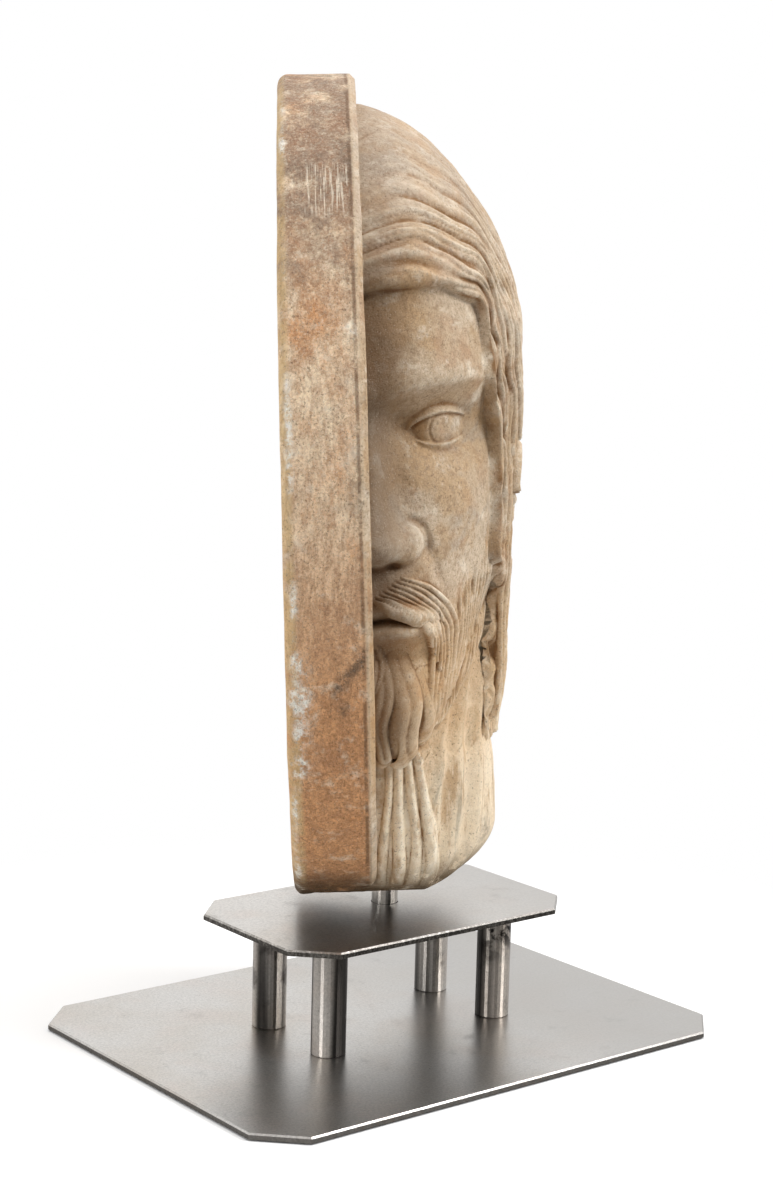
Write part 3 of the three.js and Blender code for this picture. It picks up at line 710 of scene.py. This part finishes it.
# Materials
class Nodes:
    """Adds and links the nodes of a material or world; place is where its patterns are looked up."""

    def __init__(self, owner):
        owner.use_nodes = True
        self.owner, self.tree, self.place = owner, owner.node_tree, None

    def put(self, socket, value):
        """Links a socket's value, or sets it where it is a number or colour."""
        if isinstance(value, bpy.types.NodeSocket):
            self.tree.links.new(value, socket)
        else:
            socket.default_value = value

    def shade(self, socket, value):
        self.put(self.tree.nodes["Principled BSDF"].inputs[socket], value)

    def add(self, kind, values=None, **settings):
        node = self.tree.nodes.new(kind)
        for key, value in settings.items():
            setattr(node, key, value)
        for key, value in (values or {}).items():
            self.put(node.inputs[key], value)
        return node

    def noise(self, scale, detail=4, roughness=0.55, distortion=0.0, place=None):
        values = {"Scale": scale, "Detail": detail, "Roughness": roughness, "Distortion": distortion}
        return self.add("ShaderNodeTexNoise", {"Vector": place or self.place, **values}).outputs["Fac"]

    def between(self, value, low, high, start=0.0, end=1.0, **settings):
        """The value carried from low and high to start and end, straight or as set."""
        values = {"Value": value, "From Min": low, "From Max": high, "To Min": start, "To Max": end}
        return self.add("ShaderNodeMapRange", values, **settings).outputs["Result"]

    def ramp(self, value, *ends):
        return self.between(value, *ends, interpolation_type="SMOOTHSTEP")

    def patches(self, pattern, low, high, place=None):
        """Soft patches of noise, by its scale, detail, roughness and distortion."""
        return self.ramp(self.noise(*pattern, place=place), low, high)

    def stretched(self, scale):
        return self.add("ShaderNodeMapping", {"Vector": self.place, "Scale": scale}).outputs["Vector"]

    def along(self, axis, vector=None):
        """The place, or another vector, along one axis."""
        return self.add("ShaderNodeSeparateXYZ", {"Vector": vector or self.place}).outputs[axis]

    def at(self, axis, low, high):
        """From 0 to 1 as the place goes from low to high along an axis."""
        return self.ramp(self.along(axis), low, high)

    def mix(self, share, first, second):
        node = self.add("ShaderNodeMix", data_type="RGBA")
        for index, value in ((0, share), (6, first), (7, second)):
            self.put(node.inputs[index], (*value, 1) if isinstance(value, tuple) else value)
        return node.outputs[2]

    def math(self, operation, first, second=0.0):
        return self.add("ShaderNodeMath", {0: first, 1: second}, operation=operation).outputs[0]

    def product(self, first, *others):
        for other in others:
            first = self.math("MULTIPLY", first, other)
        return first

    def layered(self, colour, *layers):
        """The colour with others laid over it, each as far as the product of its masks goes."""
        for *masks, tint in layers:
            colour = self.mix(self.product(*masks), colour, tint)
        return colour

    def attribute(self, name, output="Fac"):
        return self.add("ShaderNodeAttribute", attribute_name=name).outputs[output]

    def bump(self, height, strength, distance, normal=None):
        values = {"Height": height, "Strength": strength, "Distance": distance}
        if normal:
            values["Normal"] = normal
        return self.add("ShaderNodeBump", values).outputs["Normal"]


def srgb(*levels):
    """A colour from its levels of 0 to 255."""
    return tuple(c / 255 / 12.92 if c <= 10 else ((c / 255 + 0.055) / 1.055) ** 2.4 for c in levels)


def darker(colour, *shares):
    """A colour times one share, or times a share for each of its three parts."""
    return tuple(c * share for c, share in zip(colour, shares * (3 // len(shares))))


# The scale of the marble's fibres along each way: they are drawn out upwards
FIBRE = (1, 1, 0.2)


def marble_skin(m, brown, fleck, pale, grit):
    """The head, the slab's front and its back: cream, with brown and golden patches and a paler neck."""
    vein = m.math("ABSOLUTE", m.math("SUBTRACT", m.noise(11, 4, 0.5, 0.8), 0.5))
    ahead = m.at("X", -0.004, -0.001)
    neck = m.product(m.at("X", 0.0005, 0.004), m.at("Z", -0.09, -0.13))
    streak_at = m.stretched((1, 1, 0.26))
    ochre = m.patches((110, 5, 0.65), 0.5, 0.64, streak_at)
    ashen = m.patches((64, 5, 0.65, 0.5), 0.54, 0.66, streak_at)
    lower_face = m.product(m.at("Z", -0.005, -0.04), m.at("Z", -0.145, -0.12))
    warm = m.product(m.at("X", 0.06, 0.02), lower_face, m.ramp(brown, -0.4, 0.9), ahead)
    beard = m.product(m.at("Z", -0.03, -0.07), m.at("Z", -0.15, -0.12), ahead)
    broad = m.patches((16, 4), 0.36, 0.64)
    return m.layered(
        m.mix(broad, srgb(210, 190, 164), srgb(190, 163, 130)),
        (ahead, m.at("Z", -0.11, -0.16), 0.6, srgb(222, 200, 170)),
        (m.ramp(vein, 0.035, 0.0), 0.4, srgb(158, 150, 138)),
        (brown, 0.7, srgb(180, 142, 108)),
        (m.patches((30, 7, 0.65), 0.5, 0.6), 0.45, srgb(196, 156, 106)),
        (fleck, 0.5, srgb(150, 122, 92)),
        (grit, 0.38, srgb(142, 112, 80)),
        (pale, 0.6, srgb(236, 224, 204)),
        (neck, 0.7, srgb(242, 224, 194)),
        (neck, ochre, 0.65, srgb(172, 132, 84)),
        (neck, ashen, 0.6, srgb(146, 134, 114)),
        (m.at("Z", 0.1, 0.15), 0.3, srgb(172, 156, 142)),
        (warm, 0.9, srgb(166, 122, 80)),
        (beard, 0.35, srgb(228, 188, 136)),
    )


def marble_edge(m, brown, fleck, pale, grit, fibre):
    """The slab's edge: rusty low down, grey at the top, with a pale front corner and tool marks."""
    rust = m.patches((30, 7, 0.7), 0.42, 0.68, m.stretched((1, 1, 0.45)))
    rusty = m.math("MAXIMUM", rust, m.product(m.at("Z", 0.05, -0.1), 0.9))
    grey = m.product(m.at("Z", 0.085, 0.15), m.patches((60, 5, 0.6), 0.25, 0.55))
    salt = m.product(m.patches((760, 8, 0.85), 0.5, 0.6), m.at("Z", -0.1, 0.05))
    bruised = m.product(m.at("Z", 0.09, 0.13), m.patches((34, 6, 0.7), 0.5, 0.6))
    behind = m.product(m.at("X", -0.0335, -0.0365), m.patches((90, 5, 0.65), 0.3, 0.55))
    beside_lip = m.product(
        m.at("X", -0.0058, -0.0048), m.at("X", -0.0032, -0.0042),
        m.patches((60, 5, 0.7), 0.36, 0.52),
    )
    # A brown foot on the edge, darkened further as painted shade.
    foot_brown_and_shade = m.patches((60, 7, 0.8), 0.34, 0.6, m.stretched(FIBRE))
    tooled = m.product(
        m.at("Z", 0.136, 0.143), m.at("Z", 0.164, 0.158),
        m.at("X", -0.029, -0.024), m.at("X", -0.003, -0.007),
        m.patches((1050, 2), 0.5, 0.6, m.stretched((1, 0, 0.06))),
    )
    return m.layered(
        m.mix(rusty, srgb(250, 226, 192), srgb(219, 156, 100)),
        (grey, 0.85, srgb(132, 110, 92)),
        (fibre, 0.4, srgb(168, 118, 78)),
        (brown, 0.45, srgb(176, 126, 88)),
        (fleck, 0.3, srgb(150, 104, 68)),
        (grit, 0.42, srgb(132, 84, 46)),
        (salt, 0.35, srgb(252, 238, 214)),
        (pale, 0.55, srgb(244, 228, 204)),
        (bruised, 0.6, srgb(122, 100, 82)),
        (behind, 0.75, srgb(214, 180, 128)),
        (m.at("X", -0.0042, -0.0024), 0.8, srgb(232, 210, 178)),
        (beside_lip, 0.7, srgb(120, 88, 58)),
        (m.at("Z", -0.165, -0.203), foot_brown_and_shade, srgb(88, 54, 22)),
        (tooled, 0.6, srgb(250, 236, 214)),
    )


def aged_marble(m, colour, rim):
    """The colour with white wear and painted light on the throat's cords, grime and painted shade in the
    grooves and hollows, stains, grime and painted shade where the head meets the slab, a brown foot darkened
    further as painted shade, and specks.
    """
    # The share of white wear, which on the prop under the beard is painted light on cords that lie in shade;
    # low down it is laid on more strongly.
    rubbed_and_lit = m.product(m.attribute("worn"), m.patches((200, 7, 0.8), 0.38, 0.6))
    wear_and_light_share = m.math("ADD", m.product(m.at("Z", -0.12, -0.13), 0.35), 0.5)
    chalk = m.product(m.ramp(rubbed_and_lit, 0.1, 0.8), m.patches((520, 6, 0.8), 0.36, 0.56))
    # Brown grime in the grooves, with painted shade: the groove value also darkens every hollow of the
    # carving.
    grime_and_shade = m.product(m.attribute("groove"), m.patches((70, 5, 0.65), 0.2, 0.7))
    # Grime and painted shade on the head where it meets the slab, weaker on the hair.
    slab_grime_and_shade = m.product(
        m.at("X", 0.028, 0.004), m.at("X", 0.0004, 0.001), m.at("Z", -0.14, -0.11),
        m.between(m.along("Z"), 0.09, 0.13, 1.0, 0.35),
    )
    return m.layered(
        colour,
        (rubbed_and_lit, wear_and_light_share, srgb(248, 236, 213)),
        (chalk, rim, srgb(252, 246, 234)),
        (m.ramp(grime_and_shade, 0.08, 0.95), srgb(140, 102, 62)),
        (m.attribute("stain"), m.patches((200, 7, 0.8), 0.36, 0.56), 0.85, srgb(84, 70, 56)),
        (slab_grime_and_shade, 0.75, srgb(104, 84, 64)),
        # The foot: brown, and darkened further as painted shade.
        (m.at("Z", -0.178, -0.203), m.patches((75, 7, 0.75), 0.36, 0.5), srgb(84, 60, 26)),
        (m.patches((800, 4, 0.7), 0.56, 0.66), 0.6, srgb(104, 78, 52)),
        (m.patches((1300, 2), 0.62, 0.7), 0.2, srgb(244, 236, 220)),
    )


def marble_material():
    """The marble, by place in the slab's frame in metres."""
    m = Nodes(bpy.data.materials.new("weathered_marble"))
    m.place = m.attribute("carved_at", "Vector")
    rim = m.attribute("rim")
    shared = [
        m.patches((48, 8, 0.68), 0.48, 0.68),
        m.patches((240, 6, 0.7), 0.48, 0.66),
        m.patches((85, 6, 0.65), 0.54, 0.7),
        m.patches((620, 8, 0.85), 0.46, 0.58),
    ]
    fibre = m.patches((380, 5, 0.75), 0.44, 0.62, m.stretched(FIBRE))
    colour = m.mix(rim, marble_skin(m, *shared), marble_edge(m, *shared, fibre))
    m.shade("Base Color", aged_marble(m, colour, rim))
    coarse = m.noise(300, 6, 0.65)
    normal = m.bump(coarse, 0.7, 0.0012)
    normal = m.bump(m.product(m.math("ADD", fibre, coarse), rim), 0.6, 0.0009, normal)
    normal = m.bump(m.patches((420, 3, 0.6), 0.38, 0.28), -0.6, 0.0008, normal)
    m.shade("Normal", m.bump(m.noise(1500, 3, 0.7), 0.7, 0.0005, normal))
    m.shade("Roughness", m.between(coarse, 0, 1, 0.5, 0.75))
    m.shade("Subsurface Weight", 0.08)
    m.shade("Subsurface Radius", (0.004, 0.0025, 0.0015))
    m.shade("Specular IOR Level", 0.35)
    return m.owner


def steel_material(name, colour, roughness, brush, special=None, anisotropy=0.0, dark_reflection_share=0.0):
    """Brushed steel with soft brown clouds, stains and specks, and dark upright stripes as a painted
    reflection; a brush is its grain's scale and its depth.
    """
    m = Nodes(bpy.data.materials.new(name))
    m.place = m.add("ShaderNodeTexCoord").outputs["Object"]
    stain = m.patches((55, 6, 0.65), 0.56, 0.74)
    tint = m.layered(
        colour,
        (m.patches((16, 5, 0.6), 0.35, 0.7), 0.6, darker(colour, 0.84, 0.78, 0.7)),
        (stain, 0.5, darker(colour, 0.58)),
        (m.patches((620, 2), 0.7, 0.76), 0.7, srgb(72, 62, 54)),
        (m.patches((30, 5, 0.6), 0.48, 0.66), 0.35, darker(colour, 1.0, 0.9, 0.86)),
        (m.patches((700, 5, 0.85), 0.4, 0.62), 0.4, darker(colour, 0.4)),
    )
    if special:
        tint = special(m, tint)
    # Dark upright stripes on the posts and the rod: a painted dark reflection.
    dark_reflection_bands = m.patches((75, 1, 0.5), 0.42, 0.6, m.stretched((1, 1, 0.03)))
    m.shade("Base Color", m.layered(tint, (dark_reflection_bands, dark_reflection_share, srgb(26, 24, 23))))
    grain, depth = brush
    lines = m.noise(1, 4, 0.7, place=m.stretched(grain))
    worn = m.math("ADD", m.product(lines, 0.6), m.product(stain, 0.4))
    m.shade("Roughness", m.between(worn, 0, 1, *roughness))
    m.shade("Normal", m.bump(lines, depth, 0.00008))
    m.shade("Metallic", 1.0)
    m.shade("Anisotropic", anisotropy)
    m.shade("Anisotropic Rotation", 0.25)
    return m.owner


def plate_tint(colour, edge_share):
    """A plate: darker to one side as a painted reflection, and dark below as painted shade, with a worn bevel
    and a dark edge.
    """

    def tinted(m, tint):
        facing = m.along("Z", m.add("ShaderNodeNewGeometry").outputs["Normal"])
        level = m.math("ABSOLUTE", facing)
        rough_edge = m.patches((520, 5, 0.75), 0.36, 0.56)
        edge_colour = m.mix(rough_edge, srgb(132, 128, 122), srgb(76, 72, 68))
        return m.layered(
            tint,
            # Painted reflection: the plate is darker towards its right side.
            (m.at("X", -0.04, 0.11), 0.75, darker(colour, 0.6)),
            (m.ramp(level, 0.9, 0.75), rough_edge, edge_share, 0.7, srgb(110, 106, 100)),
            (m.ramp(level, 0.5, 0.3), edge_share, 0.95, edge_colour),
            # Painted shade: faces that look down are dark.
            (m.ramp(facing, -0.4, -0.8), srgb(60, 56, 52)),
        )

    return tinted


def post_tint(m, tint):
    """A post: sooty at the top on its right side, with dark smudges."""
    soot = m.patches((110, 5, 0.65), 0.46, 0.56)
    return m.layered(
        tint,
        (m.at("Z", 0.03, 0.052), m.at("X", 0.0, 0.03), soot, srgb(34, 31, 30)),
        (m.patches((40, 4, 0.6), 0.55, 0.66), 0.7, srgb(72, 66, 62)),
    )


def plain_floor_material():
    """A white floor that fades out at a distance from the object, so that no horizon shows. In glossy
    reflections it is dark: a painted reflection in the steel.
    """
    m = Nodes(bpy.data.materials.new("pale_floor"))
    mirrored = m.add("ShaderNodeLightPath").outputs["Is Glossy Ray"]
    m.shade("Base Color", m.mix(mirrored, FLOOR_WHITE, FLOOR_PAINTED_REFLECTION))
    m.shade("Roughness", 0.9)
    m.shade("Specular IOR Level", 0.1)
    place = m.add("ShaderNodeTexCoord").outputs["Object"]
    away = m.add("ShaderNodeVectorMath", {0: place}, operation="LENGTH").outputs["Value"]
    shown = m.tree.nodes["Principled BSDF"].outputs["BSDF"]
    clear = m.add("ShaderNodeBsdfTransparent").outputs["BSDF"]
    mixed = m.add("ShaderNodeMixShader", {0: m.ramp(away, *FLOOR_FADE), 1: shown, 2: clear}).outputs[0]
    m.put(m.tree.nodes["Material Output"].inputs["Surface"], mixed)
    return m.owner


def clothe_steel():
    plate_brush = (60, 1600, 1600), 0.35
    post_brush = (1500, 1500, 40), 0.08
    rod_brush = (900, 900, 30), 0.05
    base, upper = srgb(206, 203, 199), srgb(212, 208, 203)
    looks = {
        # The last number of the post's and the rod's looks is their share of painted dark reflection stripes.
        "base_plate": ("satin_plate", base, (0.24, 0.46), plate_brush, plate_tint(base, 0.25)),
        "upper_plate": ("worn_plate", upper, (0.24, 0.46), plate_brush, plate_tint(upper, 1.0)),
        "post": ("turned_post", srgb(206, 201, 195), (0.34, 0.44), post_brush, post_tint, 0.95, 0.95),
        "support_rod": ("polished_rod", srgb(214, 212, 209), (0.04, 0.1), rod_brush, None, 0.0, 0.8),
    }
    steels = {name: steel_material(*look) for name, look in looks.items()}
    for name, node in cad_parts.items():
        if name != "marble_relief":
            node.data.materials.clear()
            node.data.materials.append(steels.get(name, steels["post"]))


# Light, floor and camera
def make_camera():
    yaw, pitch = CAMERA_YAW, CAMERA_PITCH
    forward = Vector((math.sin(yaw) * math.cos(pitch), math.cos(yaw) * math.cos(pitch), -math.sin(pitch)))
    right = Vector((math.cos(yaw), -math.sin(yaw), 0))
    up = right.cross(forward)
    cos_roll, sin_roll = math.cos(CAMERA_ROLL), math.sin(CAMERA_ROLL)
    right, up = cos_roll * right + sin_roll * up, cos_roll * up - sin_roll * right
    data = bpy.data.cameras.new("camera")
    data.sensor_fit = "VERTICAL"
    data.sensor_height = SENSOR_HEIGHT
    data.lens = FOCAL_PIXELS / PHOTO_HEIGHT * SENSOR_HEIGHT
    data.clip_start = 0.05
    data.clip_end = 50
    camera = bpy.data.objects.new("camera", data)
    rotation = Matrix((right, up, -forward)).transposed().to_4x4()
    camera.matrix_world = Matrix.Translation(Vector(CAMERA_PLACE) * MM) @ rotation
    bpy.context.scene.collection.objects.link(camera)
    bpy.context.scene.camera = camera


def make_floor():
    mesh = bpy.data.meshes.new("floor")
    half = FLOOR_FADE[1]
    corners = [(-half, -half, 0), (half, -half, 0), (half, half, 0), (-half, half, 0)]
    mesh.from_pydata(corners, [], [(0, 1, 2, 3)])
    floor = bpy.data.objects.new("floor", mesh)
    floor.location.z = FLOOR_LEVEL * MM
    mesh.materials.append(plain_floor_material())
    bpy.context.scene.collection.objects.link(floor)


def area_light(name, place, size, power):
    data = bpy.data.lights.new(name, "AREA")
    data.shape = "RECTANGLE"
    data.size, data.size_y = size
    data.energy = power
    light = bpy.data.objects.new(name, data)
    direction = Vector(LIGHT_TARGET) - Vector(place)
    light.matrix_world = Matrix.Translation(place) @ direction.to_track_quat("-Z", "Y").to_matrix().to_4x4()
    bpy.context.scene.collection.objects.link(light)


def make_light():
    """A soft studio: bright from the right, front and above, darker from the left, and white behind."""
    world = bpy.data.worlds.new("studio")
    room = Nodes(world)
    direction = room.add("ShaderNodeTexCoord").outputs["Generated"]

    def side(towards, reach, strengths):
        """Brightness by how far a direction is turned to one side of the room."""
        facing = room.add("ShaderNodeVectorMath", {0: direction, 1: towards}, operation="DOT_PRODUCT")
        return room.ramp(facing.outputs["Value"], *reach, *strengths)

    both = room.product(side(BRIGHT_SIDE, BRIGHT_REACH, WORLD_LIGHT), side(DARK_SIDE, DARK_REACH, DARK_LIGHT))
    to_camera = room.add("ShaderNodeLightPath").outputs["Is Camera Ray"]
    seen = room.add("ShaderNodeMix", {0: to_camera, 2: both, 3: SEEN_WHITE})
    background = room.tree.nodes["Background"]
    room.put(background.inputs["Color"], (1, 1, 1, 1))
    room.put(background.inputs["Strength"], seen.outputs[0])
    bpy.context.scene.world = world
    for light in AREA_LIGHTS:
        area_light(*light)


def main():
    make_camera()
    make_floor()
    make_light()
    bpy.context.scene.view_settings.view_transform = "Standard"
    marble = marble_material()
    for piece in make_slab() + make_head():
        piece.data.materials.append(marble)
        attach(piece, "root")
        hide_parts("marble_relief")
    clothe_steel()


main()
